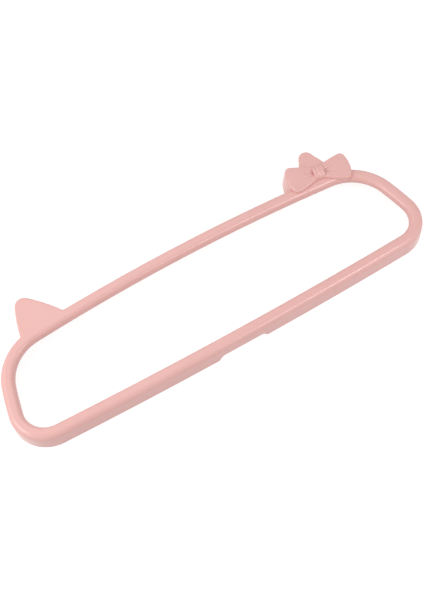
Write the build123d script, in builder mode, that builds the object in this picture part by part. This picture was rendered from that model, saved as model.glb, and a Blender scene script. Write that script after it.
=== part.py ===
from build123d import *
from math import cos, radians, sin, sqrt
import os

os.makedirs("parts", exist_ok=True)

# A decorative trim frame for a car's interior mirror, in millimetres. X runs along its length, Y towards
# the ears and Z out of its face. Z = 0 is the back edge of the skirt, which goes round the mirror.

# Ring outline: four long arcs with rounded corners, a little wider at the bottom than at the top
overall_height = 85.5  # lower rail to ear tips
ring_height = 70.0
bottom_y = -overall_height / 2
top_y = bottom_y + ring_height
top_rail_radius = 1130.0
bottom_rail_radius = 2960.0
end_radius = 237.0
end_lean = 12.3  # degrees that the end's middle faces upwards
end_middle = (125.0, bottom_y + 35.0)
upper_corner = 31.6
lower_corner = 20.2

# Section of the ring: a rounded bead on a deep outer skirt and a short inner lip
depth = 11.8
face_width = 7.6
bead_round = 3.1
skirt_wall = 1.8
lip_wall = 1.6
lip_edge = 7.35
channel_ceiling = 9.3
edge_chamfer = 0.35

# Webs across the channel, between the tape strips
web = 1.0
web_edge = 7.8
web_columns = (-90.0, 0.0, 90.0)
web_rows = (-25.0, 9.0)

# Notch in the lower skirt, which clears the mirror's lever
notch_depth = 4.0
notch_half_flat = 11.0
notch_slope = 6.0

# Ears: flat plates flush with the bead's face. Each is a tip arc with two bowed flanks that run into the
# bead, given for the right-hand side. The one under the bow has a narrower tip and a steeper inner flank.
ear_thickness = 3.0
ear_back = depth - ear_thickness
left_ear = {
    "tip_x": 92.1,
    "tip_radius": 5.0,
    "leaves_at": (21.0, 135.0),
    "inner_root": Vector(72.9, 21.0),
    "outer_root": Vector(102.5, 17.7),
}
right_ear = {
    "tip_x": 91.1,
    "tip_radius": 4.4,
    "leaves_at": (21.2, 151.5),
    "inner_root": Vector(78.1, 20.6),
    "outer_root": Vector(100.9, 18.2),
}
ear_tail = 4.0
ear_round = 1.0

# Bow: two fan-shaped loops, hollow from behind, that saddle the bead and the right ear
bow_centre = (91.2, 25.5)
bow_tilt = -12.5
bow_back = 0.5
bow_overhang_back = 8.5
bow_top = 13.4
bow_draft = 6.5
bow_wall = 1.8
bow_edge = 0.6
waist_half = 3.3
waist_round = 3.0
loop_droop = 2.0
loop_corner_x = 16.8
loop_half = 9.4
loop_length = 19.0
loop_side_bulge = 0.5
loop_corner = 2.8
pleat_start = 2.2
pleat_length = 12.3
pleat_spread = 13.0
pleat_width = 2.0
pleat_depth = 0.9
pleat_end_scale = 0.1

# Locating pins under the bow, in holes through the right ear
pin_radius = 1.2
pin_places = ((86.0, 29.6), (96.0, 26.0))

# Knot: a gathered band that clips over the bow's waist, with a stem in the bow's top
knot_back = 10.0
knot_half_width = 3.2
knot_half_reach = 4.8
knot_corner = 1.0
knot_crown_height = bow_top + 2.1
knot_crown_radius = 5.2
knot_edge = 0.6
knot_fold_depth = 0.4
knot_fold_half = 0.5
knot_folds = (-1.1, 1.1)
stem_radius = 1.2
stem_length = 1.2

# Foam tape in the channel and its release liner
tape_thickness = 2.3
tape_back = channel_ceiling - tape_thickness
tape_gap = 0.2
liner_thickness = 0.12
rail_strip = 76.0
end_strip = 28.0
strip_reach = 30.0
rail_strip_x = 46.0
end_strip_y = -8.0
strips = {
    "top_left": (-rail_strip_x, top_y, rail_strip, strip_reach),
    "top_right": (rail_strip_x, top_y, rail_strip, strip_reach),
    "bottom_left": (-rail_strip_x, bottom_y, rail_strip, strip_reach),
    "bottom_right": (rail_strip_x, bottom_y, rail_strip, strip_reach),
    "end_left": (-end_middle[0], end_strip_y, strip_reach, end_strip),
    "end_right": (end_middle[0], end_strip_y, strip_reach, end_strip),
}


def save(builder, name):
    builder.part.label = name
    export_step(builder.part, f"parts/{name}.step")


# The outline, moved in by an inset, is what the discs of its four arcs share
def ring_outline(inset=0.0):
    end_centre_x = end_middle[0] - end_radius * cos(radians(end_lean))
    end_centre_y = end_middle[1] - end_radius * sin(radians(end_lean))
    with BuildSketch() as outline:
        with Locations((0, top_y - top_rail_radius)):
            Circle(top_rail_radius - inset)
        with Locations((0, bottom_y + bottom_rail_radius)):
            Circle(bottom_rail_radius - inset, mode=Mode.INTERSECT)
        for side in (-1, 1):
            with Locations((side * end_centre_x, end_centre_y)):
                Circle(end_radius - inset, mode=Mode.INTERSECT)
        fillet(outline.vertices().group_by(Axis.Y)[-1], upper_corner - inset)
        fillet(outline.vertices().group_by(Axis.Y)[0], lower_corner - inset)
    return outline.sketch


# A closed band between two insets of the outline
def ring_band(outer_inset, inner_inset):
    with BuildSketch() as band:
        add(ring_outline(outer_inset))
        add(ring_outline(inner_inset), mode=Mode.SUBTRACT)
    return band.sketch


# Bead: the solid ring, before it is hollowed from behind
with BuildPart() as bead:
    with BuildSketch():
        add(ring_band(0, face_width))
    extrude(amount=depth)
    fillet(bead.faces().sort_by(Axis.Z)[-1].edges(), bead_round)

# Ears: round tip and bowed flanks, with a square tail that stays inside the bead
def ear_outline(tip_x, tip_radius, leaves_at, inner_root, outer_root):
    first_angle, last_angle = leaves_at
    tail = Vector(0, -ear_tail)
    with BuildSketch() as ear:
        with BuildLine():
            tip_centre = (tip_x, overall_height / 2 - tip_radius)
            tip = CenterArc(tip_centre, tip_radius, first_angle, last_angle - first_angle)
            TangentArc(tip @ 0, outer_root, tangent=-(tip % 0))
            TangentArc(tip @ 1, inner_root, tangent=tip % 1)
            Polyline(inner_root, inner_root + tail, outer_root + tail, outer_root)
        make_face()
    return ear.sketch


with BuildSketch() as ear_plan:
    add(ear_outline(**left_ear))
    mirror(about=Plane.YZ, mode=Mode.REPLACE)
    add(ear_outline(**right_ear))

with BuildPart() as ears:
    with BuildSketch(Plane.XY.offset(ear_back)):
        add(ear_plan.sketch)
    extrude(amount=ear_thickness)
    fillet(ears.edges().group_by(Axis.Z)[-1], ear_round)
    chamfer(ears.edges().group_by(Axis.Z)[0], edge_chamfer)
    with BuildSketch(Plane.XY.offset(ear_back)):
        add(ring_outline(face_width / 2))
    extrude(amount=ear_thickness, mode=Mode.SUBTRACT)

# Frame: bead and ears in one moulding, with the mirror's recess, the tape channel, webs and the notch
with BuildPart() as rim_frame:
    add(bead.part)
    add(ears.part)
    with BuildSketch():
        add(ring_outline(skirt_wall))
    extrude(amount=lip_edge, mode=Mode.SUBTRACT)
    channel_plan = ring_band(skirt_wall, face_width - lip_wall)
    with BuildSketch(Plane.XY.offset(lip_edge)):
        add(channel_plan)
    extrude(amount=channel_ceiling - lip_edge, mode=Mode.SUBTRACT)
    for edge_height in (0, lip_edge):
        chamfer(rim_frame.edges().filter_by_position(Axis.Z, edge_height, edge_height), edge_chamfer)
    with BuildSketch(Plane.XY.offset(web_edge)):
        with Locations([(x, 0) for x in web_columns]):
            Rectangle(web, 2 * overall_height)
        with Locations([(0, y) for y in web_rows]):
            Rectangle(4 * overall_height, web)
        add(channel_plan, mode=Mode.INTERSECT)
    extrude(amount=channel_ceiling - web_edge)
    with BuildSketch(Plane.XZ.offset(-bottom_y)):
        with BuildLine():
            flat_end = (notch_half_flat, notch_depth)
            slope_middle = (notch_half_flat + notch_slope / 2, notch_depth / 2)
            slope_end = (notch_half_flat + notch_slope, 0)
            flat = Line((0, notch_depth), flat_end)
            upper_bend = TangentArc(flat_end, slope_middle, tangent=flat % 1)
            TangentArc(slope_middle, slope_end, tangent=upper_bend % 1)
            Polyline(slope_end, (notch_half_flat + notch_slope, -1), (0, -1), (0, notch_depth))
        make_face()
        mirror(about=Plane.YZ)
    extrude(amount=2 * skirt_wall, both=True, mode=Mode.SUBTRACT)
    with Locations([(x, y, depth) for x, y in pin_places]):
        Hole(pin_radius)
save(rim_frame, "rim_frame")

# What the bow and its knot sit on: the bead with a chamfer that just clears its round, the ears, and all
# behind them
with BuildPart() as seat:
    with BuildSketch():
        add(ring_band(0, face_width))
    extrude(amount=depth)
    chamfer(seat.faces().sort_by(Axis.Z)[-1].edges(), bead_round * (2 - sqrt(2)))
    with BuildSketch():
        add(ring_outline())
    extrude(amount=bow_overhang_back)
    with BuildSketch():
        add(ear_plan.sketch)
        add(ring_outline(face_width / 2), mode=Mode.SUBTRACT)
    extrude(amount=depth)

# Bow
bow_plane = Plane(
    origin=(*bow_centre, 0),
    x_dir=(cos(radians(bow_tilt)), sin(radians(bow_tilt)), 0),
    z_dir=(0, 0, 1),
)
def bow_outline(inset=0.0):
    with BuildSketch() as plan:
        with BuildLine():
            waist = waist_half - inset
            upper = Vector(loop_corner_x - inset, loop_half - inset).rotate(Axis.Z, -loop_droop)
            lower = Vector(loop_corner_x - inset, inset - loop_half).rotate(Axis.Z, -loop_droop)
            end = Vector(loop_length - inset, 0).rotate(Axis.Z, -loop_droop)
            SagittaArc((0, waist), upper, loop_side_bulge)
            ThreePointArc(upper, end, lower)
            SagittaArc(lower, (0, -waist), loop_side_bulge)
            Line((0, -waist), (0, waist))
        make_face()
        fillet(plan.vertices().sort_by(Axis.X)[-2:], loop_corner - inset)
        mirror(about=Plane.YZ)
        fillet(plan.vertices().filter_by_position(Axis.X, -0.01, 0.01), waist_round + inset)
    return plan.sketch


with BuildPart() as bow_block:
    with BuildSketch(bow_plane.offset(bow_top)):
        add(bow_outline())
    extrude(amount=-(bow_top - bow_back))
    draft(bow_block.faces().filter_by(Axis.Z, reverse=True), Plane.XY.offset(bow_top), bow_draft)
    chamfer(bow_block.faces().sort_by(Axis.Z)[-1].edges(), bow_edge)

with BuildPart() as bow_hollow:
    with BuildSketch(bow_plane.offset(depth)):
        add(bow_outline(bow_wall))
    extrude(amount=-(depth - bow_back))
    draft(bow_hollow.faces().filter_by(Axis.Z, reverse=True), Plane.XY.offset(depth), bow_draft)

# Pleat: a groove that narrows and rises from the knot to the middle of a loop
with BuildPart() as pleat:
    for distance, scale in ((0, 1), (pleat_length, pleat_end_scale)):
        with BuildSketch(Plane.YZ.offset(distance)):
            half, drop = pleat_width / 2 * scale, pleat_depth * scale
            Polygon((-half, 0), (0, -drop), (half, 0), align=None)
    loft()

with BuildPart() as bow:
    add(bow_block.part)
    add(bow_hollow.part, mode=Mode.SUBTRACT)
    for loop_turn in (-loop_droop, 180 + loop_droop):
        for spread in (-pleat_spread, pleat_spread):
            along = Vector(1, 0, 0).rotate(Axis.Z, bow_tilt + loop_turn + spread)
            pleat_root = Vector(*bow_centre, bow_top) + along * pleat_start
            with Locations(Plane(origin=pleat_root, x_dir=along, z_dir=(0, 0, 1))):
                add(pleat.part, mode=Mode.SUBTRACT)
    add(seat.part, mode=Mode.SUBTRACT)
    with Locations([(x, y, ear_back) for x, y in pin_places]):
        Cylinder(pin_radius, ear_thickness, align=(Align.CENTER, Align.CENTER, Align.MIN))
    with Locations(bow_plane.offset(bow_top)):
        Hole(stem_radius, stem_length)
save(bow, "bow")

# Knot: a crowned band across the waist, its profile with two folds turned about the crown's axis, less
# the bow and what they sit on
with BuildPart() as bow_knot:
    crown_centre = Vector(*bow_centre, knot_crown_height - knot_crown_radius)
    crown_plane = Plane(origin=crown_centre, x_dir=bow_plane.x_dir, z_dir=-bow_plane.y_dir)
    with BuildSketch(crown_plane):
        with BuildLine():
            side = knot_half_width - knot_edge
            shoulder = knot_crown_radius - knot_edge
            crown = [(-knot_half_width, 0), (-knot_half_width, shoulder), (-side, knot_crown_radius)]
            for fold in knot_folds:
                crown.append((fold - knot_fold_half, knot_crown_radius))
                crown.append((fold, knot_crown_radius - knot_fold_depth))
                crown.append((fold + knot_fold_half, knot_crown_radius))
            crown += [(side, knot_crown_radius), (knot_half_width, shoulder), (knot_half_width, 0)]
            Polyline(*crown, close=True)
        make_face()
    revolve(axis=Axis(crown_centre, bow_plane.x_dir))
    with BuildSketch(bow_plane.offset(knot_back)):
        RectangleRounded(2 * knot_half_width, 2 * knot_half_reach, knot_corner)
    extrude(amount=knot_crown_height - knot_back, mode=Mode.INTERSECT)
    add(bow_block.part, mode=Mode.SUBTRACT)
    add(seat.part, mode=Mode.SUBTRACT)
    with Locations(bow_plane.offset(bow_top)):
        Cylinder(stem_radius, stem_length, align=(Align.CENTER, Align.CENTER, Align.MAX))
save(bow_knot, "bow_knot")

# Tape strips in the channel, each with its liner
tape_plan = ring_band(skirt_wall + tape_gap, face_width - lip_wall - tape_gap)
for place, (x, y, width, height) in strips.items():
    with BuildSketch() as strip_plan:
        add(tape_plan)
        with Locations((x, y)):
            Rectangle(width, height, mode=Mode.INTERSECT)
    with BuildPart() as tape:
        with BuildSketch(Plane.XY.offset(tape_back)):
            add(strip_plan.sketch)
        extrude(amount=tape_thickness)
    save(tape, f"tape_{place}")
    with BuildPart() as liner:
        with BuildSketch(Plane.XY.offset(tape_back)):
            add(strip_plan.sketch)
        extrude(amount=-liner_thickness)
    save(liner, f"liner_{place}")
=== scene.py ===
from math import cos, radians, sin

import bmesh
import bpy
from mathutils import Matrix, Vector
from mathutils.bvhtree import BVHTree


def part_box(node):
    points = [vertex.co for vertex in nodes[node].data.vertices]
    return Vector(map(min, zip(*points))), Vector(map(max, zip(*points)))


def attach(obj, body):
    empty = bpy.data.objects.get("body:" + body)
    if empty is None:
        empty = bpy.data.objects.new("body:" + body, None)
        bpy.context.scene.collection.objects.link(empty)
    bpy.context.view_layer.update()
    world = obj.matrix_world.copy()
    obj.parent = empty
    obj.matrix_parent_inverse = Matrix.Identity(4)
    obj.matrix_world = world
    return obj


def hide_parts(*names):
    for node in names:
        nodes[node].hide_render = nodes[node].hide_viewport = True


# A cat-ear trim frame for a car's interior mirror: pink ABS mouldings, foam tape and its liners.

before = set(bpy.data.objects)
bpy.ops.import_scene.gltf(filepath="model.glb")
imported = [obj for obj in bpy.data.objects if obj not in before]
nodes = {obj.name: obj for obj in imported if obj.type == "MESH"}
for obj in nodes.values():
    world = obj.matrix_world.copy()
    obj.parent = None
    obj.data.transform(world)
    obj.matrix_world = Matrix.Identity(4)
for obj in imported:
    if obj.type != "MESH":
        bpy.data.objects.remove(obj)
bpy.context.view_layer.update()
mm = 0.001
white = (1, 1, 1, 1)
print("frame loaded:", len(nodes), "nodes")


def srgb(hexText):
    # hex colour as painters write it, turned to the linear values that the shader wants
    channels = [int(hexText[i:i + 2], 16) / 255 for i in (1, 3, 5)]
    linear = [c / 12.92 if c <= 0.04045 else ((c + 0.055) / 1.055) ** 2.4 for c in channels]
    return (*linear, 1.0)


def addNode(tree, kind, settings=None, links=None):
    # one node: settings are its attributes and socket values, links the outputs that feed its inputs
    node = tree.nodes.new(kind)
    for name, value in (settings or {}).items():
        if hasattr(node, name):
            setattr(node, name, value)
        else:
            node.inputs[name].default_value = value
    for socket, source in (links or {}).items():
        tree.links.new(source, node.inputs[socket])
    return node


def newMaterial(name):
    material = bpy.data.materials.new(name)
    material.use_nodes = True
    material.node_tree.nodes.clear()
    return material, material.node_tree


# Materials. A pattern's scale is one over its real size.

pinkAbs = {
    "colour": "#EBB8B2",
    "deeper": "#E7B1AB",
    "cloudMm": 45,  # slow drift of the masterbatch colour
    "rough": 0.3,
    "roughDrift": 0.04,  # goes with the colour's drift
    "grainMm": 0.9,  # spark texture of the mould, drawn coarser than the real 0.05 mm so that it shows
    "grainDetail": 3,
    "grainHeightMm": 0.0015,
    "flowMm": 24,  # shallow sink and flow unevenness of the long thin rail
    "flowDetail": 1,
    "flowHeightMm": 0.02,
    "ior": 1.54,
    "specular": 0.1,  # most of the gloss comes from the lacquer
    "lacquer": 0.3,  # thin clear gloss lacquer over the moulding
    "lacquerIor": 1.9,  # above a real lacquer's 1.5, so that the thin coat draws bright narrow highlights
    "lacquerRough": 0.2,
}


def injectionMouldedAbs(name, settings):
    # lacquered injection-moulded ABS: a milky even pink, with one soft thin highlight along each round edge
    material, tree = newMaterial(name)
    place = addNode(tree, "ShaderNodeTexCoord").outputs["Object"]
    cloud = addNode(tree, "ShaderNodeTexNoise", {"Scale": 1 / (settings["cloudMm"] * mm)}, {"Vector": place})
    colour = addNode(
        tree, "ShaderNodeMix",
        {"data_type": "RGBA", "A": srgb(settings["colour"]), "B": srgb(settings["deeper"])},
        {"Factor": cloud.outputs["Fac"]},
    )
    rough = addNode(
        tree, "ShaderNodeMapRange",
        {"To Min": settings["rough"] - settings["roughDrift"],
         "To Max": settings["rough"] + settings["roughDrift"]},
        {"Value": cloud.outputs["Fac"]},
    )
    flow = addNode(
        tree, "ShaderNodeTexNoise",
        {"Scale": 1 / (settings["flowMm"] * mm), "Detail": settings["flowDetail"]},
        {"Vector": place},
    )
    flowBump = addNode(
        tree, "ShaderNodeBump", {"Distance": settings["flowHeightMm"] * mm},
        {"Height": flow.outputs["Fac"]},
    )
    grain = addNode(
        tree, "ShaderNodeTexNoise",
        {"Scale": 1 / (settings["grainMm"] * mm), "Detail": settings["grainDetail"]},
        {"Vector": place},
    )
    grainBump = addNode(
        tree, "ShaderNodeBump", {"Distance": settings["grainHeightMm"] * mm},
        {"Height": grain.outputs["Fac"], "Normal": flowBump.outputs["Normal"]},
    )
    shader = addNode(
        tree, "ShaderNodeBsdfPrincipled",
        {"IOR": settings["ior"], "Specular IOR Level": settings["specular"],
         "Coat Weight": settings["lacquer"], "Coat IOR": settings["lacquerIor"],
         "Coat Roughness": settings["lacquerRough"]},
        {"Base Color": colour.outputs["Result"], "Roughness": rough.outputs["Result"],
         "Normal": grainBump.outputs["Normal"]},
    )
    addNode(tree, "ShaderNodeOutputMaterial", links={"Surface": shader.outputs["BSDF"]})
    return material


# the second colour is a greyer tone painted into the pits as their shade
foamTape = {"colour": "#ECEBE4", "paintedPitShade": "#C9C8BF", "cellMm": 0.45, "cellHeightMm": 0.12, "rough": 0.9}


def closedCellFoam(name, settings):
    # white polyethylene foam, cut through its closed cells: matte, with small round pits, each painted greyer
    # towards its middle as its shade
    material, tree = newMaterial(name)
    place = addNode(tree, "ShaderNodeTexCoord").outputs["Object"]
    cells = addNode(tree, "ShaderNodeTexVoronoi", {"Scale": 1 / (settings["cellMm"] * mm)}, {"Vector": place})
    # the pits' middles take the greyer colour: painted shade in the pits
    colour = addNode(
        tree, "ShaderNodeMix",
        {"data_type": "RGBA", "A": srgb(settings["paintedPitShade"]), "B": srgb(settings["colour"])},
        {"Factor": cells.outputs["Distance"]},
    )
    bump = addNode(
        tree, "ShaderNodeBump", {"Distance": settings["cellHeightMm"] * mm},
        {"Height": cells.outputs["Distance"]},
    )
    shader = addNode(
        tree, "ShaderNodeBsdfPrincipled", {"Roughness": settings["rough"]},
        {"Base Color": colour.outputs["Result"], "Normal": bump.outputs["Normal"]},
    )
    addNode(tree, "ShaderNodeOutputMaterial", links={"Surface": shader.outputs["BSDF"]})
    return material


liner = {
    "colour": "#E2D2A0",
    "fibre": "#D5C38E",
    "fibreMm": 2.2,
    "fibreDetail": 6,
    "creaseHeightMm": 0.05,
    "creaseStrength": 0.6,
    "rough": 0.38,
}


def siliconedPaper(name, settings):
    # yellow glassine release paper, coated with silicone: thin, slightly mottled, with a waxy shine
    material, tree = newMaterial(name)
    place = addNode(tree, "ShaderNodeTexCoord").outputs["Object"]
    fibre = addNode(
        tree, "ShaderNodeTexNoise",
        {"Scale": 1 / (settings["fibreMm"] * mm), "Detail": settings["fibreDetail"]},
        {"Vector": place},
    )
    colour = addNode(
        tree, "ShaderNodeMix",
        {"data_type": "RGBA", "A": srgb(settings["colour"]), "B": srgb(settings["fibre"])},
        {"Factor": fibre.outputs["Fac"]},
    )
    bump = addNode(
        tree, "ShaderNodeBump",
        {"Strength": settings["creaseStrength"], "Distance": settings["creaseHeightMm"] * mm},
        {"Height": fibre.outputs["Fac"]},
    )
    shader = addNode(
        tree, "ShaderNodeBsdfPrincipled", {"Roughness": settings["rough"]},
        {"Base Color": colour.outputs["Result"], "Normal": bump.outputs["Normal"]},
    )
    addNode(tree, "ShaderNodeOutputMaterial", links={"Surface": shader.outputs["BSDF"]})
    return material


finishes = {
    "pink_abs": injectionMouldedAbs("pinkGlossAbs", pinkAbs),
    "foam_tape": closedCellFoam("whiteFoamTape", foamTape),
    "release_liner": siliconedPaper("glassineLiner", liner),
}
slotOf = {"tape": "foam_tape", "liner": "release_liner"}  # by a node's first word, and all others are ABS
for name, node in nodes.items():
    slot = slotOf.get(name.split("_")[0], "pink_abs")
    node.data.materials.clear()
    node.data.materials.append(finishes[slot])
print("materials assigned")

# Bow and knot, with the soft edges that the mould gives them.

softBow = {
    "voxelMm": 0.24,
    "relaxTimes": 4,
    "tiltDeg": -12.5,
    "crownMm": 0.2,  # how far the middle of a loop swells above its rim
    "crownDepthMm": (1.2, 0.2),  # below the loops' face, where the swelling starts and where it is whole
    "loopReachMm": (3.5, 18.5),  # from the knot's middle, where a loop starts and ends to swell
    "knotFadeMm": 6,  # over which the swelling grows from the knot
    "endFadeMm": 7,  # over which it dies out towards the loop's end
    "loopHalfMm": 2.4,  # half width of a loop at the knot's middle
    "loopFan": 0.42,  # what a loop's half width gains per mm from there
    "sideFade": 0.75,  # share of the half width over which the swelling dies out to each side
    "seatReachMm": 0.5,  # gap to the rim below which the bow starts to sink
    "seatSinkMm": 0.5,
}
softKnot = {"voxelMm": 0.12, "relaxTimes": 5}
mergeMm = 0.001  # joins the loose triangles of a CAD mesh
relaxFactor = 0.5  # how far a point goes towards its neighbours' middle each time


def softCopy(nodeName, pieceName, settings):
    # a CAD solid made anew in even quads and relaxed, so that each sharp edge gets a small round
    shape = bmesh.new()
    shape.from_mesh(nodes[nodeName].data)
    bmesh.ops.remove_doubles(shape, verts=shape.verts, dist=mergeMm * mm)
    merged = bpy.data.meshes.new("merged")
    shape.to_mesh(merged)
    shape.free()
    piece = bpy.data.objects.new(pieceName, merged)
    bpy.context.scene.collection.objects.link(piece)
    remesh = piece.modifiers.new("evenQuads", "REMESH")
    remesh.mode = "VOXEL"
    remesh.voxel_size = settings["voxelMm"] * mm
    remeshed = piece.evaluated_get(bpy.context.evaluated_depsgraph_get())
    piece.data = bpy.data.meshes.new_from_object(remeshed)
    piece.data.name = pieceName
    piece.modifiers.clear()
    bpy.data.meshes.remove(merged)
    shape = bmesh.new()
    shape.from_mesh(piece.data)
    for _ in range(settings["relaxTimes"]):
        bmesh.ops.smooth_vert(shape, verts=shape.verts, factor=relaxFactor,
                              use_axis_x=True, use_axis_y=True, use_axis_z=True)
    return piece, shape


def finishPiece(piece, shape, replaced):
    for face in shape.faces:
        face.smooth = True
    shape.to_mesh(piece.data)
    shape.free()
    piece.data.materials.clear()
    piece.data.materials.append(finishes["pink_abs"])
    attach(piece, "root")
    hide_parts(replaced)
    print(piece.name, "made with", len(piece.data.polygons), "faces")


def ease(value, low, high):
    # smooth step from 0 at low to 1 at high
    t = min(1, max(0, (value - low) / (high - low)))
    return t * t * (3 - 2 * t)


def swellLoops(shape, settings):
    # each loop's face rises gently from its rim to its middle, as padded ribbon does
    knotLow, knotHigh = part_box("bow_knot")
    middle = (Vector(knotLow) + Vector(knotHigh)) / 2
    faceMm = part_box("bow")[1][2] / mm
    tilt = radians(settings["tiltDeg"])
    alongLoops = Vector((cos(tilt), sin(tilt), 0))
    acrossLoops = Vector((-sin(tilt), cos(tilt), 0))
    near, far = settings["loopReachMm"]
    startDepth, fullDepth = settings["crownDepthMm"]
    for vert in shape.verts:
        offset = (vert.co - middle) / mm
        reach = abs(offset.dot(alongLoops))
        side = abs(offset.dot(acrossLoops))
        half = settings["loopHalfMm"] + settings["loopFan"] * reach
        fromKnot = ease(reach, near, near + settings["knotFadeMm"])
        fromEnd = ease(far - reach, 0, settings["endFadeMm"])
        fromSide = ease(half - side, 0, settings["sideFade"] * half)
        top = ease(vert.co.z / mm, faceMm - startDepth, faceMm - fullDepth)
        vert.co.z += settings["crownMm"] * mm * fromKnot * fromEnd * fromSide * top


def seatOnRim(shape, settings):
    # where the piece rests on the rim it sinks in slightly, so that the joint is one clean line
    rim = bmesh.new()
    rim.from_mesh(nodes["rim_frame"].data)
    rimTree = BVHTree.FromBMesh(rim)
    rim.free()
    reach, sink = settings["seatReachMm"] * mm, settings["seatSinkMm"] * mm
    for vert in shape.verts:
        place, normal, _, gap = rimTree.find_nearest(vert.co, reach)
        if place is not None:
            vert.co -= normal * sink * (1 - gap / reach)


bowPiece, bowShape = softCopy("bow", "softBow", softBow)
swellLoops(bowShape, softBow)
seatOnRim(bowShape, softBow)
finishPiece(bowPiece, bowShape, "bow")
knotPiece, knotShape = softCopy("bow_knot", "softKnot", softKnot)
finishPiece(knotPiece, knotShape, "bow_knot")


def whereSeen(tree):
    # 1 for rays that show a surface to the camera, straight or through gloss and glass, and 0 for light
    path = addNode(tree, "ShaderNodeLightPath")
    direct = addNode(tree, "ShaderNodeMath", {"operation": "MAXIMUM"},
                     {0: path.outputs["Is Camera Ray"], 1: path.outputs["Is Glossy Ray"]})
    seen = addNode(tree, "ShaderNodeMath", {"operation": "MAXIMUM"},
                   {0: direct.outputs["Value"], 1: path.outputs["Is Transmission Ray"]})
    return seen.outputs["Value"]


sweep = {
    "halfWidth": 3.0,  # metres
    "drop": 0.0002,  # metres below the frame's back edge
    "paint": "#8C8C8C",  # where it is seen, grey paint that takes the shadow and a glow that makes it white
    "glow": 0.87,
    "bounce": "#E6E6E6",  # what lights the object from below
}


def whiteFloor(settings):
    shape = bmesh.new()
    bmesh.ops.create_grid(shape, x_segments=1, y_segments=1, size=settings["halfWidth"])
    bmesh.ops.translate(shape, verts=shape.verts, vec=(0, 0, -settings["drop"]))
    data = bpy.data.meshes.new("floor")
    shape.to_mesh(data)
    shape.free()
    floor = bpy.data.objects.new("floor", data)
    bpy.context.scene.collection.objects.link(floor)
    material, tree = newMaterial("whiteSweep")
    paint = addNode(tree, "ShaderNodeBsdfDiffuse", {"Color": srgb(settings["paint"])})
    glow = addNode(tree, "ShaderNodeEmission", {"Color": white, "Strength": settings["glow"]})
    shown = addNode(tree, "ShaderNodeAddShader",
                    links={0: paint.outputs["BSDF"], 1: glow.outputs["Emission"]})
    bounce = addNode(tree, "ShaderNodeBsdfDiffuse", {"Color": srgb(settings["bounce"])})
    surface = addNode(tree, "ShaderNodeMixShader",
                      links={0: whereSeen(tree), 1: bounce.outputs["BSDF"], 2: shown.outputs["Shader"]})
    addNode(tree, "ShaderNodeOutputMaterial", links={"Surface": surface.outputs["Shader"]})
    floor.data.materials.append(material)


whiteFloor(sweep)
print("floor made")

studio = {
    "roomLevel": 0.44,  # light that the white room sheds; the camera and gloss see its walls at 1
    "softboxes": [
        # name, azimuth from +X and elevation in degrees, distance and size in metres, watts
        ("keyLeftBox", 172, 45, 0.525, (0.18, 0.16), 0.55),
        ("lowLeftBox", 182, 24, 0.6, (0.5, 0.3), 0.48),
        ("backLeftBox", 146, 38, 0.6, (0.4, 0.26), 0.56),
        ("backBox", 80, 58, 0.6, (0.28, 0.2), 0.18),
        ("topBox", 100, 75, 0.6, (0.2, 0.2), 0.08),
        ("lowBackBox", 90, 20, 0.6, (0.3, 0.2), 0.18),
        ("frontRightStrip", 308, 51, 0.6, (0.3, 0.09), 0.7),
        ("frontRightSpot", 311, 45, 0.43, (0.05, 0.03), 0.07),
        ("lowFrontRightBox", 324, 18, 0.6, (0.5, 0.3), 0.44),
    ],
}


def lightStudio(settings):
    # a white room, and soft lamps that all face the origin
    world = bpy.data.worlds.new("studio")
    bpy.context.scene.world = world
    world.use_nodes = True
    tree = world.node_tree
    tree.nodes.clear()
    level = addNode(tree, "ShaderNodeMapRange", {"To Min": settings["roomLevel"], "To Max": 1.0},
                    {"Value": whereSeen(tree)})
    background = addNode(tree, "ShaderNodeBackground", {"Color": white},
                         {"Strength": level.outputs["Result"]})
    addNode(tree, "ShaderNodeOutputWorld", links={"Surface": background.outputs["Background"]})
    for name, azimuth, elevation, distance, size, watts in settings["softboxes"]:
        turn, lift = radians(azimuth), radians(elevation)
        outward = Vector((cos(turn) * cos(lift), sin(turn) * cos(lift), sin(lift)))
        lamp = bpy.data.lights.new(name, "AREA")
        lamp.shape = "RECTANGLE"
        lamp.size, lamp.size_y = size
        lamp.energy = watts
        softbox = bpy.data.objects.new(name, lamp)
        softbox.location = outward * distance
        softbox.rotation_euler = outward.to_track_quat("Z", "Y").to_euler()
        bpy.context.scene.collection.objects.link(softbox)


lightStudio(studio)
print("lamps set")

lens = {
    "azimuth": -24.3135,  # degrees from the front
    "elevation": 61.7074,  # degrees above the floor
    "roll": -6.591,  # degrees
    "distance": 0.5708,  # metres, as the next two
    "target": (0.00002, -0.00823, 0.0),
    "clip": (0.01, 20),
    "focalMm": 61.68,
    "sensorMm": 36.0,
}


def placeCamera(settings):
    azimuth, elevation, roll = (radians(settings[name]) for name in ("azimuth", "elevation", "roll"))
    back = Vector((sin(azimuth) * cos(elevation), -cos(azimuth) * cos(elevation), sin(elevation)))
    right = Vector((0, 0, 1)).cross(back).normalized()
    up = back.cross(right)
    rolledRight = right * cos(roll) + up * sin(roll)
    rolledUp = up * cos(roll) - right * sin(roll)
    data = bpy.data.cameras.new("camera")
    data.lens = settings["focalMm"]
    data.sensor_width = settings["sensorMm"]
    data.clip_start, data.clip_end = settings["clip"]
    camera = bpy.data.objects.new("camera", data)
    turn = Matrix((rolledRight, rolledUp, back)).transposed().to_4x4()
    camera.matrix_world = Matrix.Translation(Vector(settings["target"]) + back * settings["distance"]) @ turn
    bpy.context.scene.collection.objects.link(camera)
    bpy.context.scene.camera = camera


placeCamera(lens)
bpy.context.scene.view_settings.view_transform = "Standard"
print("camera set")
